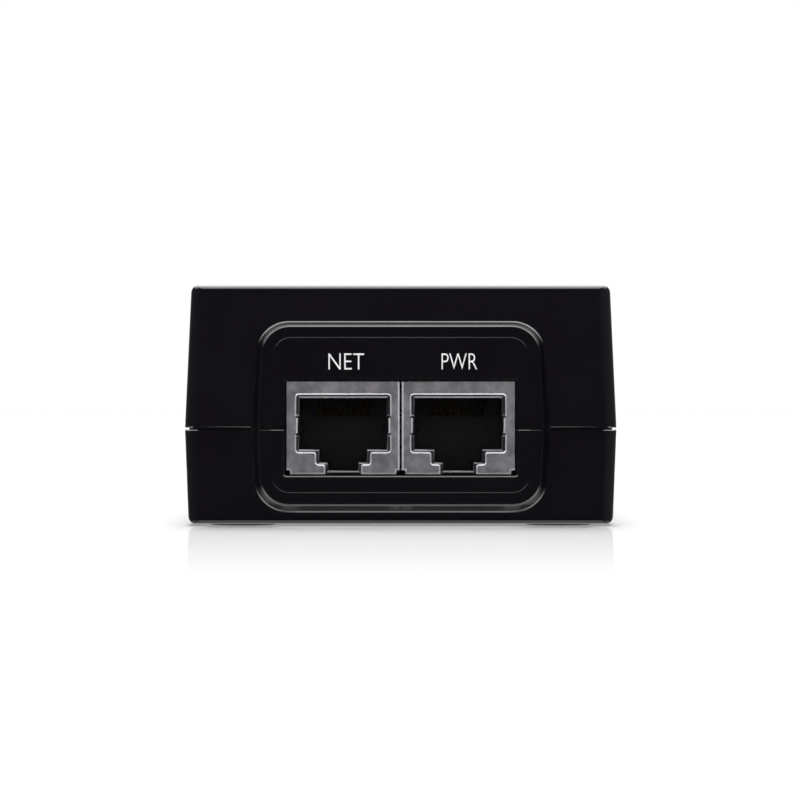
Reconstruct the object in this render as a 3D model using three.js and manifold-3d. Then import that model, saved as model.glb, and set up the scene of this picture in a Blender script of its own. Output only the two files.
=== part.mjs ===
// A desktop power-over-Ethernet injector: a two-part moulded case around a mains power supply board, with
// two shielded eight-way jacks side by side in a recess at the front and a three-pin mains inlet at the
// back.
// Millimetres, +Z up. The origin is on the table under the middle of the case, and the jacks face -Y.
import * as THREE from "three";
import { mergeVertices } from "three/addons/utils/BufferGeometryUtils.js";
import Module from "manifold-3d";

const wasm = await Module();
wasm.setup();

// ---- Driving dimensions ---------------------------------------------------------------------------------
const CASE_WIDTH = 61.1; // across the parting line, where the case is widest
const CASE_LENGTH = 110;
const CASE_HEIGHT = 33.7;
const BASE = 0.3; // the feet hold the case this far off the table
const TOP = BASE + CASE_HEIGHT;
const PARTING = BASE + 13.45; // height of the line where the two shells meet
const UPPER_DRAFT = Math.tan(THREE.MathUtils.degToRad(2.5)); // both shells taper away from the parting line
const LOWER_DRAFT = Math.tan(THREE.MathUtils.degToRad(2.1));
const WALL = 2;
const EDGE_RADIUS = 1.3; // along the top and bottom edges
const CORNER_RADIUS = 2.2; // of the four upright corners
const SEAM_GAP = 0.3; // open joint between the shells, which shows as a fine dark line

const TONGUE_INSET = 0.6; // the lower shell's tongue stands this far in from the outside
const TONGUE_THICKNESS = 1;
const TONGUE_HEIGHT = 1.05;
const FIT = 0.3; // clearance between pieces that are fitted together

const RECESS_HALF_WIDTH = 18.4; // flat port panel at the parting line
const RECESS_BOTTOM = BASE + 4.45;
const RECESS_TOP = BASE + 26.4;
const RECESS_RADIUS = 2.35;
const RECESS_BAND = 1.72; // width of the sloping band around the panel
const RECESS_BAND_DEPTH = 0.3;
const RECESS_STEP_DEPTH = 1.5; // from the face down to the band, at the parting line
const RECESS_STEP_SLOPE = 0.68; // width of the step's wall for each millimetre of depth
const RECESS_SILL_FLARE = 1.07; // the lower edge spreads this much faster than the other three
const PANEL_Y = -CASE_LENGTH / 2 + RECESS_STEP_DEPTH + RECESS_BAND_DEPTH;
const PANEL_BACK_Y = PANEL_Y + WALL;
const PANEL_BACKING_HALF_WIDTH = 22.5;
const PANEL_SKIN = 0.9;

const BOARD_TOP = BASE + 6.75;
const BOARD_THICKNESS = 1.6;
const BOARD_HALF_WIDTH = 27.4;
const BOARD_FRONT = PANEL_BACK_Y + 0.2;
const BOARD_BACK = 51;
const BOARD_HOLE_RADIUS = 1.85;
const STAND_OFF = 0.05; // gap under the board's components
const LEG_WIDTH = 0.7;

const SCREW_X = 22.5;
const SCREW_Y = 46.5;
const SCREW_RADIUS = 1.45;
const SCREW_BORE_RADIUS = 1.65;
const SCREW_LENGTH = 14;
const SCREW_HEAD_RADIUS = 2.7;
const SCREW_WELL_RADIUS = 3;
const SCREW_HEAD_BOTTOM = BASE + 1.2;
const SCREW_HEAD_TOP = BASE + 3;
const LOWER_BOSS_RADIUS = 4.3;
const UPPER_BOSS_RADIUS = 3.2;

const FOOT_RADIUS = 5;
const FOOT_POCKET_RADIUS = 5.2;
const FOOT_POCKET_DEPTH = 1;

const LABEL_HALF_WIDTH = 15; // shallow pocket for a rating label under the case
const LABEL_HALF_LENGTH = 34;
const LABEL_DEPTH = 0.3;

const PIPE_Y = -28; // the status light on the top
const PIPE_BOTTOM = BOARD_TOP + 4;
const PIPE_RADIUS = 1.45;
const PIPE_COLLAR_RADIUS = 2.5;

const JACK_PITCH = 16.3;
const JACK_Y = PANEL_Y + 0.3; // front plane of the shields
const JACK_BOTTOM = BASE + 7;
const JACK_HALF_WIDTH = 8;
const JACK_HEIGHT = 13.1;
const JACK_DEPTH = 18;
const JACK_CLEARANCE = 0.35; // to the window in the port panel
const JACK_SILL_CLEARANCE = 0.25;
const SHEET = 0.25; // the shields' sheet metal
const CONTACTS = 8;
const CONTACT_PITCH = 1.016;
const CONTACT_WIDTH = 0.46;
const CONTACT_THICKNESS = 0.3;

const INLET_FACE_Y = 54;
const INLET_DEPTH = 19.5;
const INLET_HALF_WIDTH = 14;
const INLET_BOTTOM = BOARD_TOP + 0.2;
const INLET_HEIGHT = 20.4;
const INLET_MIDDLE = INLET_BOTTOM + INLET_HEIGHT / 2;
const INLET_FLANGE_FRONT_Y = 50.2;
const INLET_FLANGE_THICKNESS = 1.8;
const INLET_FLANGE_LIP = 1.6; // how far the flange stands out behind the case wall
const INLET_CAVITY_HALF_WIDTH = 12.3;
const INLET_CAVITY_HALF_HEIGHT = 8.3;
const INLET_CAVITY_DEPTH = 16.5;
const INLET_CAVITY_BEVEL = 4; // the two upper corners are cut off, so that a plug fits one way up
const INLET_PIN_PITCH = 14; // live to neutral
const INLET_PIN_OFFSET = 2; // earth above the middle, live and neutral below it
const INLET_PIN_WIDTH = 2;
const INLET_PIN_HEIGHT = 4;

const ROUND = 24; // sides of a round piece
const CORNERS = [
  { side: "front_left", x: -1, y: -1 },
  { side: "front_right", x: 1, y: -1 },
  { side: "rear_left", x: -1, y: 1 },
  { side: "rear_right", x: 1, y: 1 },
];

// ---- Materials ------------------------------------------------------------------------------------------
const finish = (color, roughness, metalness = 0) =>
  new THREE.MeshStandardMaterial({ color, roughness, metalness });
const CASE_PLASTIC = finish(0x121113, 0.28);
const FOOT_RUBBER = finish(0x1c1c1d, 0.85);
const SCREW_STEEL = finish(0x8f9294, 0.35, 1);
const CLEAR_PIPE = finish(0xe6eef2, 0.15);
const SHIELD_STEEL = finish(0x8d8c90, 0.38, 1);
const JACK_PLASTIC = finish(0x101012, 0.45);
const GOLD_PLATE = finish(0xc9a24a, 0.25, 1);
const INLET_PLASTIC = finish(0x161617, 0.4);
const PIN_BRASS = finish(0xc8c4b4, 0.28, 1);
const BOARD_GREEN = finish(0x1d4a2c, 0.5);
const PART_BLACK = finish(0x1b1b1c, 0.5);
const CERAMIC_BLUE = finish(0x2d5fa6, 0.4);
const FILM_YELLOW = finish(0xd8a625, 0.45);
const FERRITE = finish(0x34343a, 0.6);
const COPPER_WIRE = finish(0xa4602c, 0.35, 0.7);
const WINDING_TAPE = finish(0xd9b63a, 0.4);
const SINK_ALUMINIUM = finish(0xb6b9bc, 0.4, 1);
const CAN_SLEEVE = finish(0x20242c, 0.35);
const LED_WHITE = finish(0xf1f1ea, 0.3);

// ---- Solids ---------------------------------------------------------------------------------------------
// A closed geometry as a manifold solid that can be joined and cut.
function solid(geometry) {
  const bare = geometry.clone();
  bare.deleteAttribute("normal");
  bare.deleteAttribute("uv");
  const merged = mergeVertices(bare, 1e-4);
  return new wasm.Manifold(
    new wasm.Mesh({
      numProp: 3,
      vertProperties: new Float32Array(merged.attributes.position.array),
      triVerts: new Uint32Array(merged.index.array),
    }),
  );
}

// A manifold solid as a geometry with flat shading.
function geometryOf(made) {
  const mesh = made.getMesh();
  const geometry = new THREE.BufferGeometry();
  geometry.setAttribute("position", new THREE.BufferAttribute(mesh.vertProperties, mesh.numProp));
  geometry.setIndex(new THREE.BufferAttribute(mesh.triVerts, 1));
  geometry.computeVertexNormals();
  return geometry;
}

const join = (first, ...others) => others.reduce((whole, other) => whole.add(other), first);
const cut = (first, ...others) => others.reduce((whole, other) => whole.subtract(other), first);

// A box between two corners, given along each axis in either order.
function block(x0, x1, y0, y1, z0, z1) {
  const geometry = new THREE.BoxGeometry(Math.abs(x1 - x0), Math.abs(y1 - y0), Math.abs(z1 - z0));
  geometry.translate((x0 + x1) / 2, (y0 + y1) / 2, (z0 + z1) / 2);
  return geometry;
}

// An upright round bar.
function post(radius, z0, z1, x = 0, y = 0, sides = ROUND) {
  const geometry = new THREE.CylinderGeometry(radius, radius, z1 - z0, sides);
  geometry.rotateX(Math.PI / 2);
  geometry.translate(x, y, (z0 + z1) / 2);
  return geometry;
}

// A turned piece about the upright axis at x, y, from [radius, height] points with both ends on the axis.
function turned(profile, x = 0, y = 0, sides = ROUND) {
  const points = profile.map(([radius, height]) => new THREE.Vector2(radius, height));
  const geometry = new THREE.LatheGeometry(points, sides);
  geometry.rotateX(Math.PI / 2);
  geometry.translate(x, y, 0);
  return geometry;
}

// A flat outline, given as [u, v] points, extruded by depth along the third axis.
function plate(outline, depth) {
  const shape = new THREE.Shape(outline.map(([u, v]) => new THREE.Vector2(u, v)));
  return new THREE.ExtrudeGeometry(shape, { depth, bevelEnabled: false });
}

// A plate whose outline is [x, z], standing from y0 to y1.
function uprightPlate(outline, y0, y1) {
  const geometry = plate(outline, y1 - y0);
  geometry.rotateX(Math.PI / 2);
  geometry.translate(0, y1, 0);
  return geometry;
}

// A plate whose outline is [y, z], reaching from x0 to x1.
function sidePlate(outline, x0, x1) {
  const geometry = plate(outline, x1 - x0);
  geometry.rotateX(Math.PI / 2);
  geometry.rotateZ(Math.PI / 2);
  geometry.translate(x0, 0, 0);
  return geometry;
}

// The outline of a strip of even thickness that follows a path of [u, v] points.
function stripOutline(path, thickness) {
  const points = path.map(([u, v]) => new THREE.Vector2(u, v));
  const side = (sign) =>
    points.map((point, i) => {
      const before = points[Math.max(i - 1, 0)];
      const after = points[Math.min(i + 1, points.length - 1)];
      const along = after.clone().sub(before).normalize();
      const across = new THREE.Vector2(-along.y, along.x);
      return point.clone().addScaledVector(across, (sign * thickness) / 2);
    });
  return [...side(-1), ...side(1).reverse()].map((point) => [point.x, point.y]);
}

// A convex anticlockwise loop of [u, v, radius] corners, with each corner rounded to its radius.
function roundedLoop(corners, steps = 4) {
  return corners.flatMap(([u, v, radius], i) => {
    const corner = new THREE.Vector2(u, v);
    if (!radius) return [corner];
    const [bu, bv] = corners[(i + corners.length - 1) % corners.length];
    const [au, av] = corners[(i + 1) % corners.length];
    const back = new THREE.Vector2(bu, bv).sub(corner).normalize();
    const ahead = new THREE.Vector2(au, av).sub(corner).normalize();
    const half = Math.acos(back.dot(ahead)) / 2;
    const middle = back.clone().add(ahead).normalize();
    const centre = corner.clone().addScaledVector(middle, radius / Math.sin(half));
    const from = corner.clone().addScaledVector(back, radius / Math.tan(half)).sub(centre).angle();
    const sweep = Math.PI - 2 * half;
    return Array.from({ length: steps + 1 }, (_, k) => {
      const angle = from + (sweep * k) / steps;
      return new THREE.Vector2(Math.cos(angle), Math.sin(angle)).multiplyScalar(radius).add(centre);
    });
  });
}

// A closed skin through convex loops of equal length, with flat ends.
function loft(loops) {
  const n = loops[0].length;
  const last = (loops.length - 1) * n;
  const index = [];
  for (let start = 0; start < last; start += n)
    for (let i = 0; i < n; i++) {
      const a = start + i;
      const b = start + ((i + 1) % n);
      index.push(a, b, b + n, a, b + n, a + n);
    }
  for (let i = 1; i < n - 1; i++) index.push(0, i + 1, i, last, last + i, last + i + 1);
  const geometry = new THREE.BufferGeometry().setFromPoints(loops.flat());
  geometry.setIndex(index);
  return geometry;
}

// ---- Case -----------------------------------------------------------------------------------------------
// The case's plan outline at one height, drawn in by inset from the widest outline.
function planLoop(inset, z, radius) {
  const x = CASE_WIDTH / 2 - inset;
  const y = CASE_LENGTH / 2 - inset;
  const corners = [[x, y, radius], [-x, y, radius], [-x, -y, radius], [x, -y, radius]];
  return roundedLoop(corners).map((point) => new THREE.Vector3(point.x, point.y, z));
}

const draftInset = (z) =>
  z > PARTING ? (z - PARTING) * UPPER_DRAFT : (PARTING - z) * LOWER_DRAFT;

// Loops that round the edge over into the flat face at height end; direction is 1 upwards and -1 downwards.
function edgeLoops(end, direction) {
  const start = end - direction * EDGE_RADIUS;
  return [0, 22.5, 45, 67.5, 90].map((degrees) => {
    const angle = THREE.MathUtils.degToRad(degrees);
    const rolled = EDGE_RADIUS * (1 - Math.cos(angle));
    const z = start + direction * EDGE_RADIUS * Math.sin(angle);
    return planLoop(draftInset(start) + rolled, z, CORNER_RADIUS - 0.9 * rolled);
  });
}

// The space inside the case's outline, drawn in by inset, between two heights.
function drafted(z0, z1, inset, radius) {
  return solid(loft([z0, z1].map((z) => planLoop(inset + draftInset(z), z, radius))));
}

// The recess outline at one distance y, spread by grow from the flat panel; its sides follow the taper.
function recessLoop(grow, y) {
  const middle = RECESS_HALF_WIDTH + grow;
  const bottom = RECESS_BOTTOM - grow * RECESS_SILL_FLARE;
  const top = RECESS_TOP + grow;
  const low = middle - (PARTING - bottom) * LOWER_DRAFT;
  const high = middle - (top - PARTING) * UPPER_DRAFT;
  const radius = RECESS_RADIUS + grow;
  const corners = [
    [low, bottom, radius],
    [middle, PARTING, 0],
    [high, top, radius],
    [-high, top, radius],
    [-middle, PARTING, 0],
    [-low, bottom, radius],
  ];
  return roundedLoop(corners, 6).map((point) => new THREE.Vector3(point.x, y, point.y));
}

// Everything that the recess takes away: a steep step, a sloping band and the flat port panel.
function recess() {
  const face = -CASE_LENGTH / 2;
  const outside = 0.5;
  const mouth = RECESS_BAND + RECESS_STEP_SLOPE * (RECESS_STEP_DEPTH + outside);
  const loops = [
    recessLoop(0, PANEL_Y),
    recessLoop(RECESS_BAND, face + RECESS_STEP_DEPTH),
    recessLoop(mouth, face - outside),
  ];
  return solid(loft(loops));
}

// The window for the two jacks in the port panel.
function portAperture() {
  const half = JACK_PITCH / 2 + JACK_HALF_WIDTH + JACK_CLEARANCE;
  const front = -CASE_LENGTH / 2 - 1;
  const bottom = JACK_BOTTOM - JACK_SILL_CLEARANCE;
  const top = JACK_BOTTOM + JACK_HEIGHT + JACK_CLEARANCE;
  return solid(block(-half, half, front, PANEL_BACK_Y + 2, bottom, top));
}

// The window for the mains inlet in the back wall.
function inletAperture() {
  const half = INLET_HALF_WIDTH + FIT;
  const back = CASE_LENGTH / 2 + 1;
  const inside = CASE_LENGTH / 2 - 3 * WALL;
  return solid(block(-half, half, inside, back, INLET_BOTTOM - FIT, INLET_BOTTOM + INLET_HEIGHT + FIT));
}

// Extra thickness behind the port panel, where the recess would otherwise break through the front wall.
function panelBacking(z0, z1) {
  const half = PANEL_BACKING_HALF_WIDTH;
  return solid(block(-half, half, WALL - CASE_LENGTH / 2, PANEL_BACK_Y, z0, z1));
}

// The front skin of the joint behind the port panel, where the tongue steps back to stay hidden.
function frontSkin(halfWidth) {
  return solid(block(-halfWidth, halfWidth, -CASE_LENGTH, PANEL_Y + PANEL_SKIN, 0, TOP));
}

const atCorners = (make) => CORNERS.map(({ x, y }) => make(x * SCREW_X, y * SCREW_Y));

// The tray that holds the board, with a tongue along its rim and a screw boss in each corner.
function lowerShell() {
  const rim = PARTING - SEAM_GAP / 2;
  const tongueTop = rim + TONGUE_HEIGHT;
  const half = PANEL_BACKING_HALF_WIDTH - FIT;
  const boardBottom = BOARD_TOP - BOARD_THICKNESS;
  const rimLoop = planLoop(draftInset(rim), rim, CORNER_RADIUS);
  const outside = solid(loft([...edgeLoops(BASE, -1).reverse(), rimLoop]));
  const hollow = drafted(BASE + WALL, PARTING + 5, WALL, 1);
  const tongue = cut(
    drafted(rim - 1, tongueTop, TONGUE_INSET, CORNER_RADIUS - TONGUE_INSET),
    drafted(rim - 2, tongueTop + 1, TONGUE_INSET + TONGUE_THICKNESS, 0.8),
    frontSkin(PANEL_BACKING_HALF_WIDTH + FIT),
  );
  const panelTongue = solid(
    block(-half, half, PANEL_Y + PANEL_SKIN + 0.2, PANEL_BACK_Y, rim - 1, tongueTop),
  );
  const bosses = atCorners((x, y) => solid(post(LOWER_BOSS_RADIUS, BASE + 1, boardBottom, x, y)));
  const bores = atCorners((x, y) => solid(post(SCREW_BORE_RADIUS, -1, BOARD_TOP, x, y)));
  const headWells = atCorners((x, y) => solid(post(SCREW_WELL_RADIUS, -1, SCREW_HEAD_TOP + 0.05, x, y)));
  const footPockets = atCorners((x, y) =>
    solid(post(FOOT_POCKET_RADIUS, -1, BASE + FOOT_POCKET_DEPTH, x, y, 2 * ROUND)));
  const [labelX, labelY] = [LABEL_HALF_WIDTH, LABEL_HALF_LENGTH];
  const labelPocket = solid(block(-labelX, labelX, -labelY, labelY, -1, BASE + LABEL_DEPTH));
  const walls = join(cut(outside, hollow), tongue, panelBacking(BASE + 1, rim), panelTongue, ...bosses);
  const windows = [recess(), portAperture(), inletAperture(), labelPocket];
  return cut(walls, ...windows, ...footPockets, ...headWells, ...bores);
}

// The cover, with a groove for the tongue and a long boss over each screw.
function upperShell() {
  const rim = PARTING + SEAM_GAP / 2;
  const grooveTop = rim + TONGUE_HEIGHT;
  const rimLoop = planLoop(draftInset(rim), rim, CORNER_RADIUS);
  const outside = solid(loft([rimLoop, ...edgeLoops(TOP, 1)]));
  const hollow = drafted(PARTING - 5, TOP - WALL, WALL, 1);
  const groove = cut(
    drafted(PARTING - 1, grooveTop, TONGUE_INSET - 0.1, CORNER_RADIUS - TONGUE_INSET + 0.1),
    frontSkin(PANEL_BACKING_HALF_WIDTH),
  );
  const backing = panelBacking(rim, RECESS_TOP + 2 * RECESS_BAND);
  const bosses = atCorners((x, y) => solid(post(UPPER_BOSS_RADIUS, BOARD_TOP + 0.1, TOP - WALL / 2, x, y)));
  const bores = atCorners((x, y) =>
    solid(post(SCREW_BORE_RADIUS, 0, SCREW_HEAD_TOP + SCREW_LENGTH + 2, x, y)));
  const pipeHole = solid(post(PIPE_RADIUS + 0.1, PARTING, TOP + 1, 0, PIPE_Y));
  const windows = [recess(), portAperture(), inletAperture(), pipeHole];
  const walls = cut(join(cut(outside, hollow), backing), groove, ...windows);
  return cut(join(walls, ...bosses), ...bores);
}

// A pan head screw, head down, driven up from below.
function caseScrew() {
  const tip = SCREW_HEAD_TOP + SCREW_LENGTH;
  return turned([
    [0, SCREW_HEAD_BOTTOM],
    [SCREW_HEAD_RADIUS - 0.5, SCREW_HEAD_BOTTOM],
    [SCREW_HEAD_RADIUS, SCREW_HEAD_BOTTOM + 0.6],
    [SCREW_HEAD_RADIUS, SCREW_HEAD_TOP],
    [SCREW_RADIUS, SCREW_HEAD_TOP],
    [SCREW_RADIUS, tip - 2],
    [0.3, tip],
    [0, tip],
  ], 0, 0, 16);
}

// A disc that fills the pocket over a screw head and stands a little below the case.
function rubberFoot() {
  const top = BASE + FOOT_POCKET_DEPTH - 0.05;
  return turned([[0, 0], [FOOT_RADIUS - 0.4, 0], [FOOT_RADIUS, 0.4], [FOOT_RADIUS, top], [0, top]]);
}

// A clear rod from just over the light on the board to the top of the case, with a collar under the cover.
function lightPipe() {
  const lid = TOP - 0.1;
  const collarTop = TOP - WALL - 0.1;
  return turned([
    [0, PIPE_BOTTOM],
    [PIPE_RADIUS, PIPE_BOTTOM],
    [PIPE_RADIUS, collarTop - 1],
    [PIPE_COLLAR_RADIUS, collarTop - 1],
    [PIPE_COLLAR_RADIUS, collarTop],
    [PIPE_RADIUS, collarTop],
    [PIPE_RADIUS, lid],
    [0, lid],
  ], 0, PIPE_Y);
}

// ---- Jacks, each drawn about its own middle with its front plane at y = 0 and its lowest edge at z = 0 --
// The right-hand halves of two stepped openings, as [x, z] from the foot of the latch slot up to the roof.
const WINDOW = [[2.53, 0], [2.53, 1.39], [3.81, 1.39], [3.81, 3.14], [6.65, 3.14], [6.65, 11.24]];
const CAVITY = [[2.1, 0.5], [2.1, 1.67], [3.32, 1.67], [3.32, 3.52], [6.15, 3.52], [6.15, 10.8]];
const CAVITY_DEPTH = 13.2;
const COMB = { halfWidth: 4.2, front: 2.4, back: 12.6, top: 12.3 }; // space above the plug for the contacts
const PEG = { radius: 1.55, x: 5.72, y: 9, length: 3 }; // plastic pegs that locate the jack in the board
const SHOULDER = 0.5; // below this step the shield's sides stand in a little
const SHOULDER_HEIGHT = 0.57;
const SPRING = { bottom: 5.8, top: 7.95, relief: 0.25 }; // the sprung tongues at the window's sides
const SPRING_PATH = [[6.72, 0], [6.6, 0.45], [5.75, 2.9], [5.6, 3.5], [5.75, 4.1]]; // seen from above
const CONTACT_HINGE = { y: 3.7, z: 11.42 };
const CONTACT_BEND = 0.45;
const CONTACT_TIP = [10.9, 8.3];

const leftOf = (half) => half.map(([x, z]) => [-x, z]);
const downwards = (half) => [...half].reverse();
const onBothSides = (make) => [-1, 1].map(make);

// The space that a sprung tongue needs in the sheet or in the plastic beside the window.
function tongueSpace(side, x0, x1, depth) {
  const { bottom, top, relief } = SPRING;
  return solid(block(side * x0, side * x1, -1, depth, bottom - relief, top + relief));
}

// A folded sheet-metal box without a floor, whose front carries the stepped window.
function jackShield() {
  const side = JACK_HALF_WIDTH;
  const low = side - SHOULDER;
  const front = solid(uprightPlate([
    [-low, 0],
    ...leftOf(WINDOW),
    ...downwards(WINDOW),
    [low, 0],
    [low, SHOULDER_HEIGHT],
    [side, SHOULDER_HEIGHT],
    [side, JACK_HEIGHT],
    [-side, JACK_HEIGHT],
    [-side, SHOULDER_HEIGHT],
    [-low, SHOULDER_HEIGHT],
  ], 0, SHEET));
  const cover = cut(
    solid(block(-side, side, 0, JACK_DEPTH, SHOULDER_HEIGHT, JACK_HEIGHT)),
    solid(block(SHEET - side, side - SHEET, -1, JACK_DEPTH - SHEET, -1, JACK_HEIGHT - SHEET)),
  );
  const reliefs = onBothSides((hand) => tongueSpace(hand, 6, 7.1, 1));
  return cut(join(front, cover), ...reliefs);
}

// The moulding inside the shield: the plug's space, the comb above it and pegs that go through the board.
function jackBody() {
  const gap = SHEET + 0.1;
  const wall = JACK_HALF_WIDTH - gap;
  const roof = JACK_HEIGHT - gap;
  const moulding = solid(block(-wall, wall, gap, JACK_DEPTH - gap, 0.1, roof));
  const cavity = solid(uprightPlate([...CAVITY, ...downwards(leftOf(CAVITY))], -1, CAVITY_DEPTH));
  const { halfWidth, front, back, top } = COMB;
  const comb = solid(block(-halfWidth, halfWidth, front, back, JACK_HEIGHT / 2, top));
  const pegs = onBothSides((hand) => solid(post(PEG.radius, -PEG.length, 1, hand * PEG.x, PEG.y, 16)));
  return cut(join(moulding, ...pegs), cavity, comb, ...onBothSides((hand) => tongueSpace(hand, 6, 7.4, 6)));
}

// One wire spring: a bend under the roof, then a straight limb that slopes down into the plug's way.
function contactSpring() {
  const { y, z } = CONTACT_HINGE;
  const bend = [90, 126, 162, 198, 234].map((degrees) => {
    const angle = THREE.MathUtils.degToRad(degrees);
    return [y + CONTACT_BEND * Math.cos(angle), z + CONTACT_BEND * Math.sin(angle)];
  });
  const path = [[y + 2 * CONTACT_BEND, z + CONTACT_BEND], ...bend, CONTACT_TIP];
  return sidePlate(stripOutline(path, CONTACT_THICKNESS), -CONTACT_WIDTH / 2, CONTACT_WIDTH / 2);
}

// A sprung tongue of the shield that leans in from the side of the window and grips the plug.
function groundSpring(hand) {
  const path = SPRING_PATH.map(([x, y]) => [hand * x, y]);
  const geometry = plate(stripOutline(path, SHEET), SPRING.top - SPRING.bottom);
  geometry.translate(0, 0, SPRING.bottom);
  return geometry;
}

// ---- Mains inlet ----------------------------------------------------------------------------------------
const INLET_PINS = [
  { name: "inlet_live_pin", x: INLET_PIN_PITCH / 2, z: INLET_MIDDLE - INLET_PIN_OFFSET },
  { name: "inlet_neutral_pin", x: -INLET_PIN_PITCH / 2, z: INLET_MIDDLE - INLET_PIN_OFFSET },
  { name: "inlet_earth_pin", x: 0, z: INLET_MIDDLE + INLET_PIN_OFFSET },
];
const PIN_SLOT_FIT = 0.1;
const PIN_TAIL_LENGTH = 4; // behind the moulding, where each blade turns down to the board
const PIN_TAIL_WIDTH = 1.6;

// A moulded shroud with a flange behind the case wall and a slot for each pin.
function inletBody() {
  const half = INLET_HALF_WIDTH;
  const top = INLET_BOTTOM + INLET_HEIGHT;
  const back = INLET_FACE_Y - INLET_DEPTH;
  const flangeHalf = half + INLET_FLANGE_LIP;
  const flangeBack = INLET_FLANGE_FRONT_Y;
  const shroud = solid(block(-half, half, back, INLET_FACE_Y, INLET_BOTTOM, top));
  const flange = solid(block(-flangeHalf, flangeHalf, flangeBack, flangeBack + INLET_FLANGE_THICKNESS,
    INLET_BOTTOM, top + INLET_FLANGE_LIP));
  const x = INLET_CAVITY_HALF_WIDTH;
  const low = INLET_MIDDLE - INLET_CAVITY_HALF_HEIGHT;
  const high = INLET_MIDDLE + INLET_CAVITY_HALF_HEIGHT;
  const outline = [
    [-x, low],
    [x, low],
    [x, high - INLET_CAVITY_BEVEL],
    [x - INLET_CAVITY_BEVEL, high],
    [INLET_CAVITY_BEVEL - x, high],
    [-x, high - INLET_CAVITY_BEVEL],
  ];
  const cavity = solid(uprightPlate(outline, INLET_FACE_Y - INLET_CAVITY_DEPTH, INLET_FACE_Y + 1));
  const slotX = INLET_PIN_WIDTH / 2 + PIN_SLOT_FIT;
  const slotZ = INLET_PIN_HEIGHT / 2 + PIN_SLOT_FIT;
  const slots = INLET_PINS.map((pin) =>
    solid(block(pin.x - slotX, pin.x + slotX, back - 1, INLET_FACE_Y, pin.z - slotZ, pin.z + slotZ)));
  return cut(join(shroud, flange), cavity, ...slots);
}

// A flat blade at its own height z, with a tapered nose and a tail turned down to the board.
function inletPin(z) {
  const nose = INLET_FACE_Y - 0.8;
  const tail = INLET_FACE_Y - INLET_DEPTH - PIN_TAIL_LENGTH;
  const half = INLET_PIN_HEIGHT / 2;
  const taper = { length: 2, height: 0.9 };
  const foot = BOARD_TOP + STAND_OFF;
  const outline = [
    [tail, foot],
    [tail + PIN_TAIL_WIDTH, foot],
    [tail + PIN_TAIL_WIDTH, z - half],
    [nose - taper.length, z - half],
    [nose, z - half + taper.height],
    [nose, z + half - taper.height],
    [nose - taper.length, z + half],
    [tail, z + half],
  ];
  return sidePlate(outline, -INLET_PIN_WIDTH / 2, INLET_PIN_WIDTH / 2);
}

// ---- Board and its components, each standing on z = 0 about its own middle ------------------------------
function board() {
  const slab = solid(block(-BOARD_HALF_WIDTH, BOARD_HALF_WIDTH, BOARD_FRONT, BOARD_BACK,
    BOARD_TOP - BOARD_THICKNESS, BOARD_TOP));
  const screwHoles = atCorners((x, y) => solid(post(BOARD_HOLE_RADIUS, 0, TOP, x, y, 16)));
  const pegHoles = [-1, 1].flatMap((jack) =>
    onBothSides((hand) =>
      solid(post(BOARD_HOLE_RADIUS, 0, TOP, (jack * JACK_PITCH) / 2 + hand * PEG.x, JACK_Y + PEG.y, 16))));
  return cut(slab, ...screwHoles, ...pegHoles);
}

// A moulded block.
const packageOf = (width, depth, height) => block(-width / 2, width / 2, -depth / 2, depth / 2, 0, height);

// Square wires that hold a component up from the board, at [x, y] places.
const legsAt = (places, height) =>
  places.map(([x, y]) =>
    solid(block(x - LEG_WIDTH / 2, x + LEG_WIDTH / 2, y - LEG_WIDTH / 2, y + LEG_WIDTH / 2, 0, height)));

// An electrolytic can: a rolled groove near its foot and a chamfered lid.
function capacitorCan(radius, height) {
  const groove = { depth: 0.5, from: 1.5, to: 2.7 };
  return turned([
    [0, 0],
    [radius, 0],
    [radius, groove.from],
    [radius - groove.depth, (groove.from + groove.to) / 2],
    [radius, groove.to],
    [radius, height - 0.5],
    [radius - 0.6, height],
    [0, height],
  ]);
}

// A ferrite frame of even thickness with its windows facing y; legs is the number of windows across.
function ferriteFrame({ width, height, depth, bar, windows }) {
  const opening = (width - bar * (windows + 1)) / windows;
  const frame = solid(block(-width / 2, width / 2, -depth / 2, depth / 2, 0, height));
  const cuts = Array.from({ length: windows }, (_, i) => {
    const left = -width / 2 + bar + i * (opening + bar);
    return solid(block(left, left + opening, -depth, depth, bar, height - bar));
  });
  return cut(frame, ...cuts);
}

// A square coil on a bobbin, with a clear square way through it along the leg that it sits on.
function coilAround({ width, depth, bottom, top }, leg) {
  const coil = solid(block(-width / 2, width / 2, -depth / 2, depth / 2, bottom, top));
  return cut(coil, solid(block(leg.x0, leg.x1, leg.y0, leg.y1, leg.z0, leg.z1)));
}

const TRANSFORMER = { width: 24, height: 18, depth: 6, bar: 3.5, windows: 2 };
function transformerWinding() {
  const { height, depth, bar } = TRANSFORMER;
  const across = bar / 2 + FIT;
  const along = depth / 2 + FIT;
  const leg = { x0: -across, x1: across, y0: -along, y1: along, z0: 0, z1: height };
  return coilAround({ width: 16.2, depth: 16, bottom: bar + FIT, top: height - bar - FIT }, leg);
}

const CHOKE = { width: 18, height: 15, depth: 5, bar: 3, windows: 1 };
function chokeWinding() {
  const { width, height, depth, bar } = CHOKE;
  const across = width / 2 - bar - FIT;
  const along = depth / 2 + FIT;
  const leg = { x0: -width, x1: width, y0: -along, y1: along, z0: height - bar - FIT, z1: height + FIT };
  return coilAround({ width: 2 * across, depth: 11, bottom: height - bar - 3, top: height + 2.5 }, leg);
}

// A power transistor standing on three legs with its metal tab behind.
function transistor() {
  const moulding = solid(block(-5, 5, -0.65, 3.6, 3, 12));
  const tab = solid(block(-5, 5, -0.65, 0.65, 5, 18));
  return join(moulding, tab, ...legsAt([[-2.54, 1], [0, 1], [2.54, 1]], 4));
}

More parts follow.
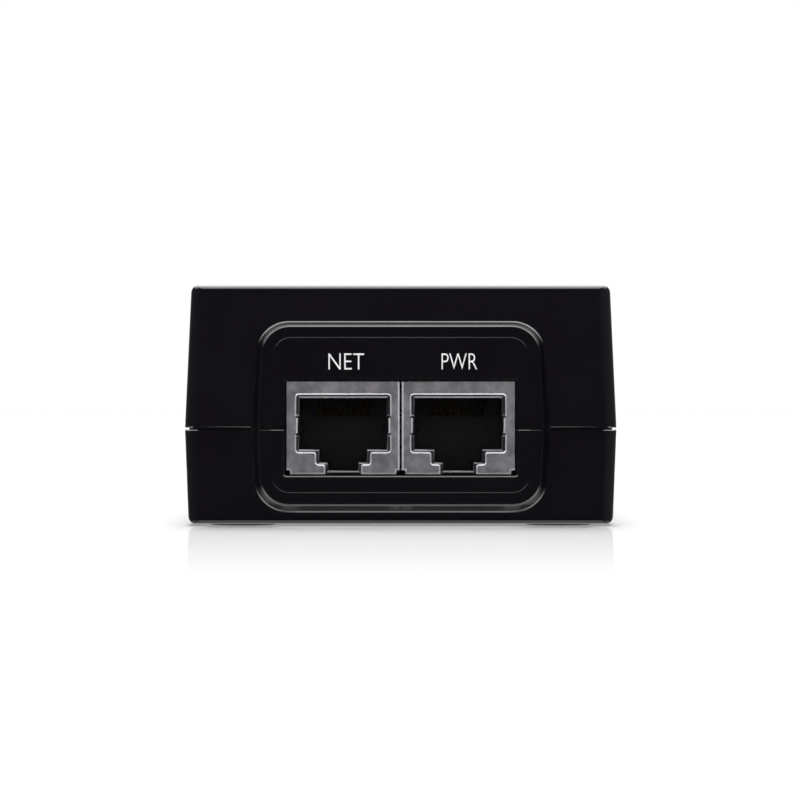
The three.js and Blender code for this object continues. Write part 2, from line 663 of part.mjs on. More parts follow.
// A plate with its top edge bent over, which a transistor's tab is held against.
function heatsink() {
  const half = 9;
  const height = 21;
  const thickness = 1.6;
  return join(
    solid(block(-half, half, 0, thickness, 0, height)),
    solid(block(-half, half, 0, 5, height - thickness, height)),
  );
}

// A flat moulding on four legs in a row.
function bridgeRectifier() {
  const moulding = solid(block(-7.5, 7.5, -1.8, 1.8, 3, 13));
  return join(moulding, ...legsAt([[-5.7, 0], [-1.9, 0], [1.9, 0], [5.7, 0]], 4));
}

// A dipped ceramic disc on two legs.
function discCapacitor() {
  const radius = 4;
  const disc = new THREE.CylinderGeometry(radius, radius, 3.2, ROUND);
  disc.rotateZ(Math.PI / 2);
  disc.translate(0, 0, radius + 1);
  return join(solid(disc), ...legsAt([[0, -2.5], [0, 2.5]], radius));
}

// A ferrite bobbin with its winding between two flanges.
function drumInductor() {
  const flange = 4.5;
  const winding = 3.6;
  return turned([
    [0, 0],
    [flange, 0],
    [flange, 1.4],
    [winding, 1.6],
    [winding, 8.4],
    [flange, 8.6],
    [flange, 10],
    [0, 10],
  ]);
}

// A small domed light-emitting diode with a flange at its foot.
function lamp() {
  return turned([[0, 0], [1.9, 0], [1.9, 0.8], [1.5, 0.8], [1.5, 2.4], [1.1, 3.3], [0.5, 3.6], [0, 3.6]]);
}

// Every component that stands on the board: its shape, its place in x and y, and its turn in degrees.
const COMPONENTS = [
  { name: "ethernet_transformer", shape: packageOf(12.7, 7.1, 5.9), x: -11, y: -28, material: PART_BLACK },
  { name: "output_inductor", shape: drumInductor(), x: -22.5, y: -28, material: FERRITE },
  { name: "output_capacitor_1", shape: capacitorCan(5, 16), x: 10.5, y: -27.5, material: CAN_SLEEVE },
  { name: "output_capacitor_2", shape: capacitorCan(5, 16), x: 21.5, y: -27.5, material: CAN_SLEEVE },
  { name: "status_led", shape: lamp(), x: 0, y: PIPE_Y, material: LED_WHITE },
  { name: "transformer_core", shape: ferriteFrame(TRANSFORMER), x: 0, y: -9, material: FERRITE },
  { name: "transformer_winding", shape: transformerWinding(), x: 0, y: -9, material: WINDING_TAPE },
  { name: "diode_heatsink", shape: heatsink(), x: 24.5, y: -8, turn: 90, material: SINK_ALUMINIUM },
  { name: "output_diode", shape: transistor(), x: 21.9, y: -8, turn: 90, material: PART_BLACK },
  { name: "safety_capacitor", shape: discCapacitor(), x: -18, y: -14, material: CERAMIC_BLUE },
  { name: "optocoupler", shape: packageOf(6.4, 4.6, 3.6), x: 16, y: 7, material: PART_BLACK },
  { name: "transistor_heatsink", shape: heatsink(), x: -24.5, y: 3, turn: -90, material: SINK_ALUMINIUM },
  { name: "switching_transistor", shape: transistor(), x: -21.9, y: 3, turn: -90, material: PART_BLACK },
  { name: "bulk_capacitor", shape: capacitorCan(8.8, 22), x: -14, y: 23, material: CAN_SLEEVE },
  { name: "bridge_rectifier", shape: bridgeRectifier(), x: 8, y: 26.5, material: PART_BLACK },
  { name: "filter_choke_core", shape: ferriteFrame(CHOKE), x: 13, y: 16, material: FERRITE },
  { name: "filter_choke_winding", shape: chokeWinding(), x: 13, y: 16, material: COPPER_WIRE },
  { name: "filter_capacitor", shape: packageOf(8.5, 18, 15), x: 21.8, y: 33, material: FILM_YELLOW },
  { name: "fuse", shape: capacitorCan(4.2, 8), x: -21, y: 37, material: PART_BLACK },
];

// ---- Assembly -------------------------------------------------------------------------------------------
const injector = new THREE.Group();

// Adds one named piece, whose shape is a geometry or a manifold solid.
function add(parent, name, shape, material, x = 0, y = 0, z = 0) {
  const geometry = shape.isBufferGeometry ? shape : geometryOf(shape);
  const mesh = new THREE.Mesh(geometry, material);
  mesh.name = name;
  mesh.position.set(x, y, z);
  parent.add(mesh);
  return mesh;
}

function addJack(prefix, x) {
  const jack = new THREE.Group();
  jack.position.set(x, JACK_Y, JACK_BOTTOM);
  add(jack, `${prefix}_jack_shield`, jackShield(), SHIELD_STEEL);
  add(jack, `${prefix}_jack_body`, jackBody(), JACK_PLASTIC);
  add(jack, `${prefix}_ground_spring_left`, groundSpring(-1), SHIELD_STEEL);
  add(jack, `${prefix}_ground_spring_right`, groundSpring(1), SHIELD_STEEL);
  for (let i = 0; i < CONTACTS; i++) {
    const across = (i - (CONTACTS - 1) / 2) * CONTACT_PITCH;
    add(jack, `${prefix}_contact_${i + 1}`, contactSpring(), GOLD_PLATE, across);
  }
  injector.add(jack);
}

add(injector, "lower_shell", lowerShell(), CASE_PLASTIC);
add(injector, "upper_shell", upperShell(), CASE_PLASTIC);
add(injector, "status_light_pipe", lightPipe(), CLEAR_PIPE);
for (const { side, x, y } of CORNERS) {
  add(injector, `rubber_foot_${side}`, rubberFoot(), FOOT_RUBBER, x * SCREW_X, y * SCREW_Y);
  add(injector, `case_screw_${side}`, caseScrew(), SCREW_STEEL, x * SCREW_X, y * SCREW_Y);
}
addJack("data", -JACK_PITCH / 2);
addJack("power", JACK_PITCH / 2);
add(injector, "inlet_body", inletBody(), INLET_PLASTIC);
for (const { name, x, z } of INLET_PINS) add(injector, name, inletPin(z), PIN_BRASS, x);
add(injector, "main_board", board(), BOARD_GREEN);
for (const { name, shape, x, y, turn = 0, material } of COMPONENTS) {
  const mesh = add(injector, name, shape, material, x, y, BOARD_TOP + STAND_OFF);
  mesh.rotation.z = THREE.MathUtils.degToRad(turn);
}

export default injector;
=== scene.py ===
"""A desktop power-over-Ethernet injector: a black two-part moulded case, two shielded eight-way jacks in a
recess at the front, a three-pin mains inlet at the back and a mains power supply board inside.

Everything is in metres in the CAD frame: the origin is on the table under the middle of the case, and the
jacks face -Y. Lengths in the code are in millimetres until a mesh is made.
"""

import math

import bmesh
import bpy
import numpy as np
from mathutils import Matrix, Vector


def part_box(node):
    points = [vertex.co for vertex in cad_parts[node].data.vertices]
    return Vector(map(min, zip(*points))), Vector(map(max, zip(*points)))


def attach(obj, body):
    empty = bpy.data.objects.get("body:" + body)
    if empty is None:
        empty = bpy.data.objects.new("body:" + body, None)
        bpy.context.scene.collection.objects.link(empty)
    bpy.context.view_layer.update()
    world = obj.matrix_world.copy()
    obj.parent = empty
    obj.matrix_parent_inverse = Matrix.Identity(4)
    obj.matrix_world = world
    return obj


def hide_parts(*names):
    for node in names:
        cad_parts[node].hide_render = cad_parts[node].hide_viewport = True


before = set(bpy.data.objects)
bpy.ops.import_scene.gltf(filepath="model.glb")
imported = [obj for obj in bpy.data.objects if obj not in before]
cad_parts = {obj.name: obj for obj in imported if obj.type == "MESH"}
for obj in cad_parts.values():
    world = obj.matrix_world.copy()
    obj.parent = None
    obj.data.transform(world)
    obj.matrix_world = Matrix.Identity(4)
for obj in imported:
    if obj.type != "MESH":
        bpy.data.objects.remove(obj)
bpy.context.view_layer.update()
scene = bpy.context.scene
MM = 0.001

# ---- Sizes in millimetres: the CAD model's, apart from tighter rolls along the long edges ----------------
PARTING = 13.75  # the joint between the two shells
HALF_WIDTH = 30.55  # at the joint
HALF_LENGTH = 55.0
BASE, TOP = 0.3, 34.0
UPPER = {"up": 1, "height": TOP - PARTING, "slope": math.tan(math.radians(2.5))}
LOWER = {"up": -1, "height": PARTING - BASE, "slope": math.tan(math.radians(2.1))}
WALL = 2.0
EDGE_RADIUS = 1.05  # long edges at the top and the bottom
CORNER_RADIUS = 2.2  # upright corners
RIM = 0.15  # half the open joint line
LIP = 0.12  # rounding of the two rims
PANEL_Y, PANEL_BACK_Y = 53.2, 51.2  # the flat port panel and the thick wall behind it
BACKING_HALF_WIDTH, BACKING_TOP = 22.5, 16.4  # how far that wall reaches; its top is over the joint
JACK_X, JACK_Y, JACK_BOTTOM = 8.15, -52.9, 7.3
TONGUE_Z = 6.875  # a grounding tongue's middle over the jack's lowest edge
SHEET = 0.25  # shield steel
CONTACT_PITCH = 1.016
BOARD_TOP = 7.05
SCREW_X, SCREW_Y = 22.5, 46.5
PIPE_Y = -28.0
CORNERS = {
    "front_left": (-SCREW_X, -SCREW_Y),
    "front_right": (SCREW_X, -SCREW_Y),
    "rear_left": (-SCREW_X, SCREW_Y),
    "rear_right": (SCREW_X, SCREW_Y),
}
JACKS = {"data": -JACK_X, "power": JACK_X}


# ---- Camera: level, square to the front, at a distance of about 0.6 m ------------------------------------
def aim_camera():
    lens = bpy.data.cameras.new("front_camera")
    lens.sensor_width = 36
    lens.lens = 191.45
    lens.clip_start = 0.01
    lens.clip_end = 50
    camera = bpy.data.objects.new("front_camera", lens)
    camera.location = (-0.0001, -0.655, 0.0178)
    camera.rotation_euler = (math.pi / 2, 0, 0)
    scene.collection.objects.link(camera)
    scene.camera = camera
    scene.view_settings.view_transform = "Standard"


aim_camera()


# ---- Materials -------------------------------------------------------------------------------------------
def srgb(code):
    """The linear colour of an sRGB hex value: each channel through the sRGB curve."""
    channels = np.array([(code >> shift) & 255 for shift in (16, 8, 0)]) / 255
    linear = np.where(channels <= 0.04045, channels / 12.92, ((channels + 0.055) / 1.055) ** 2.4)
    return (*linear.tolist(), 1.0)


def add(tree, kind, inputs=None, **settings):
    """One node with its own settings; an input is a value or another node's output."""
    made = tree.nodes.new("ShaderNode" + kind)
    for key, value in settings.items():
        setattr(made, key, value)
    for key, value in (inputs or {}).items():
        if isinstance(value, bpy.types.NodeSocket):
            tree.links.new(value, made.inputs[key])
        else:
            made.inputs[key].default_value = value
    return made


def surface(name, colour, roughness, patch=None, grain=None, metallic=0.0, ior=1.5, **sockets):
    """A finish: base colour and roughness, with two optional patterns on Object coordinates.

    patch is (size in mm, second colour, second roughness), blended in by a slow noise.
    grain is (size in mm, height in mm), raised by a fine noise.
    """
    material = bpy.data.materials.new(name)
    material.use_nodes = True
    tree = material.node_tree
    shader = tree.nodes["Principled BSDF"]
    shader.inputs["Base Color"].default_value = srgb(colour)
    shader.inputs["Roughness"].default_value = roughness
    shader.inputs["Metallic"].default_value = metallic
    if not metallic:
        shader.inputs["IOR"].default_value = ior
    for key, value in sockets.items():
        shader.inputs[key.replace("_", " ")].default_value = value
    place = add(tree, "TexCoord").outputs["Object"]
    if patch:
        size, colour_two, roughness_two = patch
        noise = add(tree, "TexNoise", {"Vector": place, "Scale": 1000 / size, "Detail": 4.0}).outputs["Fac"]
        share = add(tree, "MapRange", {"Value": noise, "From Min": 0.35, "From Max": 0.65}).outputs["Result"]
        blend = {"Factor": share, 6: srgb(colour), 7: srgb(colour_two)}
        mixed = add(tree, "Mix", blend, data_type="RGBA")
        tree.links.new(mixed.outputs[2], shader.inputs["Base Color"])
        spread = {"Value": share, "To Min": roughness, "To Max": roughness_two}
        tree.links.new(add(tree, "MapRange", spread).outputs["Result"], shader.inputs["Roughness"])
    if grain:
        size, height = grain
        noise = add(tree, "TexNoise", {"Vector": place, "Scale": 1000 / size, "Detail": 3.0}).outputs["Fac"]
        bump = add(tree, "Bump", {"Height": noise, "Strength": 1.0, "Distance": height * MM})
        tree.links.new(bump.outputs["Normal"], shader.inputs["Normal"])
    return material


# Injection-moulded ABS and polycarbonate from a lightly polished tool: deep black, a soft clear gloss.
CASE_ABS = surface("moulded_black_abs", 0x08050B, 0.11, (9, 0x09060C, 0.14), (0.5, 0.0003))
# Pad-printed ink: opaque, a little matt, slightly grey where it is thin.
LEGEND_INK = surface("white_pad_print_ink", 0xF2F2F3, 0.5, (0.5, 0xE8E8EA, 0.6))
# Hot-dipped tin on cold-rolled steel sheet: a grey mirror under a thin pale oxide bloom, cloudy in patches,
# with faint rolling marks.
SHIELD_TIN = surface("tinned_steel_sheet", 0xCFCCD2, 0.28, (1.8, 0xA19EA6, 0.42), (0.8, 0.004), 0.78)
# The same sheet where it is sheared or bent: a painted highlight, pale and bright from every side.
SHIELD_PAINTED_HIGHLIGHT = surface("tin_edge_painted_highlight", 0xECEAEE, 0.36, (0.9, 0xDAD8DD, 0.46), (0.4, 0.001), 0.5)
# The tongues' faces: plain tin that mirrors the dark inside of the jack.
SPRING_TIN = surface("tinned_spring_steel", 0x8E8C92, 0.3, (0.9, 0x7A787E, 0.4), (0.4, 0.001), 1.0)
# Glass-filled nylon: matt black, with a fine fibrous mottle.
JACK_NYLON = surface("glass_filled_black_nylon", 0x1D1B20, 0.3, (0.6, 0x211F25, 0.38), (0.18, 0.001))
# Its level edges: a painted highlight, greyed and with a hard bright glint.
JACK_PAINTED_HIGHLIGHT = surface("nylon_edge_painted_highlight", 0x828086, 0.3, (0.6, 0x74727A, 0.38), None, 0.0, 2.4)
# Hard gold over nickel on phosphor bronze wire: warm and smooth.
GOLD = surface("hard_gold_plate", 0xC9A24A, 0.22, (0.5, 0xB8923F, 0.3), None, 1.0)
# Unfilled nylon with a spark-eroded texture: matt, slightly grey black.
INLET_NYLON = surface("spark_textured_black_nylon", 0x121213, 0.38, (3, 0x151516, 0.45), (0.3, 0.004))
# Bright nickel on brass strip: yellowish silver with fine drawn scratches.
NICKEL = surface("bright_nickel_on_brass", 0xC8C4B4, 0.22, (0.7, 0xB9B5A6, 0.32), (0.25, 0.0008), 1.0)
# Compression-moulded nitrile rubber: dead matt, dusty dark grey.
RUBBER = surface("moulded_nitrile_rubber", 0x1A1A1B, 0.8, (1.5, 0x222223, 0.9), (0.25, 0.01))
# Zinc plate with a clear passivate: grey-blue metal, cloudy.
ZINC = surface("passivated_zinc_plate", 0x8F9294, 0.34, (0.8, 0x7D8183, 0.48), (0.2, 0.001), 1.0)
# Polished cast acrylic with a frosted end: clear with a faint milky bloom.
ACRYLIC = surface("frosted_clear_acrylic", 0xE6EEF2, 0.22, (1.0, 0xDCE6EB, 0.34), None, 0.0, 1.49,
                  Transmission_Weight=0.7)
# Glass cloth and epoxy under green solder resist: satin green, the weave just showing.
LAMINATE = surface("green_solder_resist", 0x1D4A2C, 0.35, (2.2, 0x245636, 0.42), (0.6, 0.006), 0.0, 1.54)
# Epoxy moulding compound: dark grey-black with a sanded look.
EPOXY = surface("black_epoxy_moulding", 0x1B1B1C, 0.55, (1.2, 0x222224, 0.62), (0.15, 0.004))
# Sintered manganese-zinc ferrite: dense dark grey, ground faces slightly shiny.
FERRITE = surface("ground_ferrite", 0x34343A, 0.5, (1.0, 0x2C2C31, 0.62), (0.12, 0.004))
# Shrunk polyester sleeve on an aluminium can: smooth dark blue-grey gloss.
SLEEVE = surface("shrunk_polyester_sleeve", 0x20242C, 0.28, (4, 0x252A33, 0.34), (1.5, 0.008))
# Cast epoxy with a diffusing filler: milky, softly lit through.
LED_EPOXY = surface("milky_cast_epoxy", 0xF1F1EA, 0.25, (0.6, 0xE6E6DE, 0.32), None, 0.0, 1.53,
                    Subsurface_Weight=0.3, Subsurface_Scale=0.001)
# Polyester winding tape with its overlapping edges: bright yellow, slightly glossy.
TAPE = surface("polyester_winding_tape", 0xD9B63A, 0.3, (3, 0xCDA72F, 0.38), (1.2, 0.02))
# Enamelled copper: orange-brown metal under a clear varnish.
COPPER = surface("enamelled_copper", 0xA4602C, 0.25, (0.8, 0x8E5123, 0.34), None, 1.0, Coat_Weight=0.6)
# Mill-finish aluminium sheet: pale grey with long rolling streaks.
ALUMINIUM = surface("mill_finish_aluminium", 0xB6B9BC, 0.34, (1.8, 0xA6A9AD, 0.45), (0.3, 0.002), 1.0)
# Dipped ceramic: thick blue lacquer with orange-peel.
CERAMIC = surface("dipped_blue_lacquer", 0x2D5FA6, 0.25, (1.5, 0x295796, 0.32), (0.9, 0.01))
# Flame-retardant polyester box: flat mid yellow, even and slightly waxy.
FILM_BOX = surface("yellow_polyester_case", 0xD8A625, 0.4, (2.5, 0xCE9C20, 0.48), (0.4, 0.003))


# ---- Meshes ----------------------------------------------------------------------------------------------
def quads(rows, columns, wrap):
    """Corner numbers of every cell of a grid of points, each row joined to the next; wrap joins the last
    column to the first."""
    numbers = np.arange(rows * columns).reshape(rows, columns)
    if wrap:
        numbers = np.concatenate([numbers, numbers[:, :1]], axis=1)
    cells = np.stack([numbers[:-1, :-1], numbers[:-1, 1:], numbers[1:, 1:], numbers[1:, :-1]], axis=-1)
    return cells.reshape(-1, 4)


def closed_mesh(name, grids, caps=()):
    """One mesh from grids of points in mm, (points, wrap) each, and from caps, single outlines to fill.

    Points that coincide are merged, so grids that share an edge join, and faces are turned outwards.
    """
    points = [np.asarray(grid, float).reshape(-1, 3) for grid, _ in grids]
    starts = np.cumsum([0] + [len(p) for p in points])
    faces = [quads(*np.shape(g)[:2], wrap) + start for (g, wrap), start in zip(grids, starts)]
    faces = [cell for part in faces for cell in part.tolist()]
    loops = [np.asarray(cap, float) for cap in caps]
    for loop in loops:
        start = sum(len(p) for p in points)
        points.append(loop)
        faces.append(list(range(start, start + len(loop))))
    mesh = bpy.data.meshes.new(name)
    mesh.from_pydata((np.concatenate(points) * MM).tolist(), [], faces)
    bm = bmesh.new()
    bm.from_mesh(mesh)
    bmesh.ops.remove_doubles(bm, verts=bm.verts, dist=0.0005 * MM)
    bmesh.ops.dissolve_degenerate(bm, edges=bm.edges, dist=0.0002 * MM)
    bmesh.ops.recalc_face_normals(bm, faces=bm.faces)
    bm.to_mesh(mesh)
    bm.free()
    return mesh


def show(name, mesh, material, body="root", stands_for=(), sharp=35):
    """Puts a mesh in the scene as a piece of the object: smooth where its faces meet at under sharp degrees.
    The material may be a pair, the second for the edges that refined() made with it."""
    piece = bpy.data.objects.new(name, mesh)
    scene.collection.objects.link(piece)
    for finish in material if isinstance(material, tuple) else (material,):
        mesh.materials.append(finish)
    mesh.shade_smooth()
    mesh.set_sharp_from_angle(angle=math.radians(sharp))
    even = piece.modifiers.new("even_normals", "WEIGHTED_NORMAL")
    even.keep_sharp = True
    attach(piece, body)
    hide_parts(*stands_for)
    return piece


def boolean(mesh, other, operation):
    """The mesh joined with or cut by another one, exactly."""
    scratch = [bpy.data.objects.new("scratch", m) for m in (mesh, other)]
    for item in scratch:
        scene.collection.objects.link(item)
    step = scratch[0].modifiers.new("boolean", "BOOLEAN")
    step.object, step.operation, step.solver = scratch[1], operation, "EXACT"
    result = bpy.data.meshes.new_from_object(scratch[0].evaluated_get(bpy.context.evaluated_depsgraph_get()))
    for item in scratch:
        bpy.data.objects.remove(item)
    return result


def sealed(mesh, lowest=-math.inf):
    """The mesh closed up again after cuts: faces below the lowest height in mm go, being what is left of a
    cutter, and an open edge that passes points of another one is split there, so that the two join."""
    bm = bmesh.new()
    bm.from_mesh(mesh)
    spare = [face for face in bm.faces if face.calc_center_median().z < (lowest - 0.002) * MM]
    bmesh.ops.delete(bm, geom=spare, context="FACES")
    rim = [v for v in bm.verts if any(e.is_boundary for e in v.link_edges)]
    spots = np.array([v.co for v in rim]).reshape(-1, 3)
    for edge in [e for e in bm.edges if e.is_boundary]:
        start = edge.verts[0]
        first = np.array(start.co)
        along = np.array(edge.verts[1].co) - first
        share = (spots - first) @ along / (along @ along)
        off = np.linalg.norm(spots - first - share[:, None] * along, axis=1)
        inside = (off < 0.001 * MM) & (share > 1e-3) & (share < 1 - 1e-3)
        passed = 0
        for place in np.unique(share[inside].round(5)):
            edge, start = bmesh.utils.edge_split(edge, start, (place - passed) / (1 - passed))
            edge = next(e for e in start.link_edges if e.is_boundary and e is not edge)
            passed = place
    bmesh.ops.remove_doubles(bm, verts=bm.verts, dist=0.001 * MM)
    bm.to_mesh(mesh)
    bm.free()
    return mesh


def merged(name, meshes):
    """Several meshes that stay apart, as one."""
    bm = bmesh.new()
    for mesh in meshes:
        bm.from_mesh(mesh)
    whole = bpy.data.meshes.new(name)
    bm.to_mesh(whole)
    bm.free()
    return whole


def rounded(points, radii, steps=6):
    """A path with its corners rounded: near a corner the path follows a quadratic curve that starts and ends
    that corner's radius away from it, or half a leg away if that is less."""
    points = np.asarray(points, float)
    radii = np.broadcast_to(radii, len(points))
    parts = [points[:1]]
    t = np.linspace(0, 1, steps + 1)[:, None]
    for before, corner, after, radius in zip(points, points[1:], points[2:], radii[1:]):
        reach = [min(radius / np.linalg.norm(p - corner), 0.5) for p in (before, after)]
        start, end = corner + (before - corner) * reach[0], corner + (after - corner) * reach[1]
        parts.append((1 - t) ** 2 * start + 2 * t * (1 - t) * corner + t**2 * end)
    return np.concatenate(parts + [points[-1:]])


def bar(name, loop, axis, ends):
    """A straight bar: a loop of points in the other two axes carried along one axis from end to end."""
    layers = [np.insert(loop, axis, end, axis=1) for end in ends]
    return closed_mesh(name, [(np.stack(layers), True)], layers)


def lathe(name, profile, centre=(0, 0), sides=64):
    """A turned piece: a profile of [radius, height] carried round an upright axis, each point to
    radius*(cos, sin) of the angle. Its ends lie on the axis, where the points merge into a pole."""
    profile = np.asarray(profile, float)
    angle = np.linspace(0, 2 * math.pi, sides, endpoint=False)
    radius, height = profile[:, :1], profile[:, 1:]
    grid = np.stack([
        centre[0] + radius * np.cos(angle),
        centre[1] + radius * np.sin(angle),
        height + 0 * angle,
    ], axis=-1)
    return closed_mesh(name, [(grid, True)])


def section(width, thickness, radius, steps=3):
    """A rectangle with rounded corners about its middle, as a closed loop of [across, out] points: each
    corner is a quarter circle about a centre one radius inside."""
    quarter = np.linspace(0, math.pi / 2, steps + 1)
    turns = np.concatenate([quarter + k * math.pi / 2 for k in range(4)])
    signs = np.repeat([[1, 1], [-1, 1], [-1, -1], [1, -1]], steps + 1, axis=0)
    centres = signs * (np.array([width, thickness]) / 2 - radius)
    return centres + radius * np.stack([np.cos(turns), np.sin(turns)], axis=-1)


def swept(name, path, loop, plane, offset):
    """A bent strip: the loop's out-direction follows the path's normal in the plane and its across-direction
    stays square to that plane. plane is the two axes the path lies in; offset moves the finished strip."""
    path = np.asarray(path, float)
    tangent = np.gradient(path, axis=0)
    tangent /= np.linalg.norm(tangent, axis=1, keepdims=True)
    normal = np.stack([-tangent[:, 1], tangent[:, 0]], axis=-1)
    spot = path[:, None, :] + loop[None, :, 1:] * normal[:, None, :]
    across = np.broadcast_to(loop[None, :, 0], spot.shape[:2])
    (other,) = {0, 1, 2} - set(plane)
    grid = np.zeros((*spot.shape[:2], 3))
    grid[..., plane[0]], grid[..., plane[1]], grid[..., other] = spot[..., 0], spot[..., 1], across
    grid = grid + np.asarray(offset, float)
    return closed_mesh(name, [(grid, True)], [grid[0], grid[-1]])


def refined(node, *passes):
    """A CAD node's solid as one closed mesh of large flat faces, its sharp edges rounded in passes.

    A pass is (test, width in mm, segments, finish). The test takes every sharp edge's middle and direction in
    mm, as arrays, and says which edges it rounds. A negative width is taken as it is, even where edges are
    short. The finish is the number of the material that the new faces take.
    """
    mesh = bpy.data.meshes.new(node)
    bm = bmesh.new()
    bm.from_mesh(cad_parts[node].data)
    bmesh.ops.remove_doubles(bm, verts=bm.verts, dist=0.001 * MM)
    bmesh.ops.dissolve_limit(bm, angle_limit=math.radians(1), verts=bm.verts, edges=bm.edges)
    for test, width, segments, finish in passes:
        sharp = [e for e in bm.edges if len(e.link_faces) == 2 and e.calc_face_angle() > math.radians(35)]
        ends = np.array([[v.co for v in e.verts] for e in sharp]) / MM
        along = ends[:, 1] - ends[:, 0]
        along /= np.linalg.norm(along, axis=1, keepdims=True)
        picked = test(ends.mean(axis=1), along)
        chosen = [edge for edge, yes in zip(sharp, picked) if yes]
        bmesh.ops.bevel(bm, geom=chosen, offset=abs(width) * MM, segments=segments, profile=0.5,
                        affect="EDGES", clamp_overlap=width > 0, material=finish)
    bm.to_mesh(mesh)
    bm.free()
    return mesh


def every_edge(middle, along):
    return np.ones(len(middle), bool)


# ---- Case ------------------------------------------------------------------------------------------------
SIDE_STEPS, ARC_STEPS, FLAT_STEPS = 6, 10, 8


def arch(width, slope, height, radius):
    """Half an outline over the joint, as x and h (the distance from the joint) along it: up a side that leans
    in by slope, round a corner of that radius, along the flat to the middle, and the same mirrored back."""
    lean = math.atan(slope)
    centre_h = height - radius
    centre_x = width - slope * centre_h - radius / math.cos(lean)
    turn = np.linspace(lean, math.pi / 2, ARC_STEPS + 1)
    side = np.linspace(RIM + LIP, centre_h + radius * math.sin(lean), SIDE_STEPS + 1)[:-1]
    flat = np.linspace(centre_x, 0, FLAT_STEPS + 1)[1:]
    x = np.concatenate([width - slope * side, centre_x + radius * np.cos(turn), flat])
    h = np.concatenate([side, centre_h + radius * np.sin(turn), np.full(FLAT_STEPS, height)])
    return np.concatenate([x, -x[-2::-1]]), np.concatenate([h, h[-2::-1]])


def roll_share():
    """For each point along an arch, 0 on the sides and 1 on the flat, eased over the corner's arc."""
    eased = (1 - np.cos(np.linspace(0, math.pi, ARC_STEPS + 1))) / 2
    half = np.concatenate([np.zeros(SIDE_STEPS), eased, np.ones(FLAT_STEPS)])
    return np.concatenate([half, half[-2::-1]])


def ring(outline, reach, lean=0.0, front=True):
    """An outline at a distance y from the middle of the case, leaning back by lean for each mm of h."""
    x, h = outline
    y = (reach - lean * h) * (-1 if front else 1)
    return np.stack([x, y, h], axis=-1)


def corner_rings(half, front):
    """The rolled edge between an end face and the long sides: at angle a the outline has come out to its full
    size less (1 - sin a) times the radius, and the end face has fallen back by (1 - cos a) times it."""
    share = roll_share()
    radius = CORNER_RADIUS * (1 - share) + EDGE_RADIUS * share
    made = []
    for angle in np.linspace(0, math.pi / 2, 9):
        inset = 1 - math.sin(angle)
        outline = arch(
            HALF_WIDTH - CORNER_RADIUS * inset,
            half["slope"],
            half["height"] - EDGE_RADIUS * inset,
            0.15 + (EDGE_RADIUS - 0.15) * math.sin(angle),
        )
        fallen = HALF_LENGTH - radius * (1 - math.cos(angle))
        made.append(ring(outline, fallen, half["slope"], front))
    return made


def eased_rings(rings, turns):
    """Rings with the edge at each one eased. A turn is (before, after, round): the edge starts and ends those
    distances from the ring, measured square to it, and it is a quadratic curve or a flat chamfer. Support
    rings just outside the edge, and just inside a chamfer, keep the flats flat."""
    made = [rings[0]]
    for before, here, after, (size_before, size_after, is_round) in zip(rings, rings[1:], rings[2:], turns):
        along = np.gradient(here, axis=0)
        along /= np.linalg.norm(along, axis=1, keepdims=True)
        steps = []
        for leg, size in ((before - here, size_before), (after - here, size_after)):
            square = leg - along * (leg * along).sum(axis=1, keepdims=True)
            length = np.maximum(np.linalg.norm(square, axis=1, keepdims=True), 1e-6)
            for far, limit in ((1, 0.45), (1.2, 0.49)):
                steps.append(here + leg * np.minimum(size * far / length, limit))
        start, start_support, end, end_support = steps
        if is_round:
            t = np.linspace(0, 1, 5)
            edge = [(1 - s) ** 2 * start + 2 * s * (1 - s) * here + s**2 * end for s in t]
        else:
            edge = [(1 - s) * start + s * end for s in (0, 0.1, 0.9, 1)]
        made += [start_support, *edge, end_support]
    return made + [rings[-1]]


def outer_rings(half):
    """The shell's outside from the jacks' window to the inlet's window, ring by ring."""
    upper = half is UPPER
    slope, flare = half["slope"], 1.0 if upper else 1.07
    window = 7.0 if upper else 6.7
    panel = 12.85 if upper else 9.0
    foot = panel + (1.62 if upper else 1.76)
    mouth = (15.13, 4.54) if upper else (11.78, 4.9)
    inlet = 14.2 if upper else 6.8
    inner_window = window - (0.23 if upper else 0.15)
    front = [
        ring(arch(16.28, 0, inner_window, 0.3), 52.5),
        ring(arch(16.28, 0, inner_window, 0.3), 52.72),
        ring(arch(16.5, 0, window, 0.3), 52.75),
        ring(arch(16.5, 0, window, 0.3), PANEL_Y),
        ring(arch(18.4, slope, panel, 2.35), PANEL_Y),
        ring(arch(18.48, slope, panel + 0.08 * flare, 2.43), PANEL_Y + 0.13),
        ring(arch(20.12, slope, foot, 4.0), 53.44),
        ring(arch(21.14, slope * 1.68, *mouth), HALF_LENGTH, slope),
    ]
    corner = corner_rings(half, True)
    front = eased_rings(front + corner[:1], [
        (0.03, 0.03, True),
        (0.01, 0.03, True),
        (0.05, 0.05, False) if upper else (0.145, 0.16, False),  # the window's edge
        (0.05, 0.04, True),
        (0.06, 0.07, True),
        (0.07, 0.21, False),  # the foot of the steep step
        (0.22, 0.05, False),  # the recess's mouth
    ])
    front[-1:] = corner
    body = arch(HALF_WIDTH, slope, half["height"], EDGE_RADIUS)
    middle = [ring(body, reach) for reach in (50, 25, -25, -50)]
    rear = eased_rings(
        [
            corner_rings(half, False)[0],
            ring(arch(14.3, 0, inlet, 0.3), HALF_LENGTH, slope, False),
            ring(arch(14.3, 0, inlet, 0.3), HALF_LENGTH - WALL, 0, False),
        ],
        [(0.2, 0.2, True)],
    )
    return np.stack(front + middle + corner_rings(half, False)[::-1] + rear[1:])


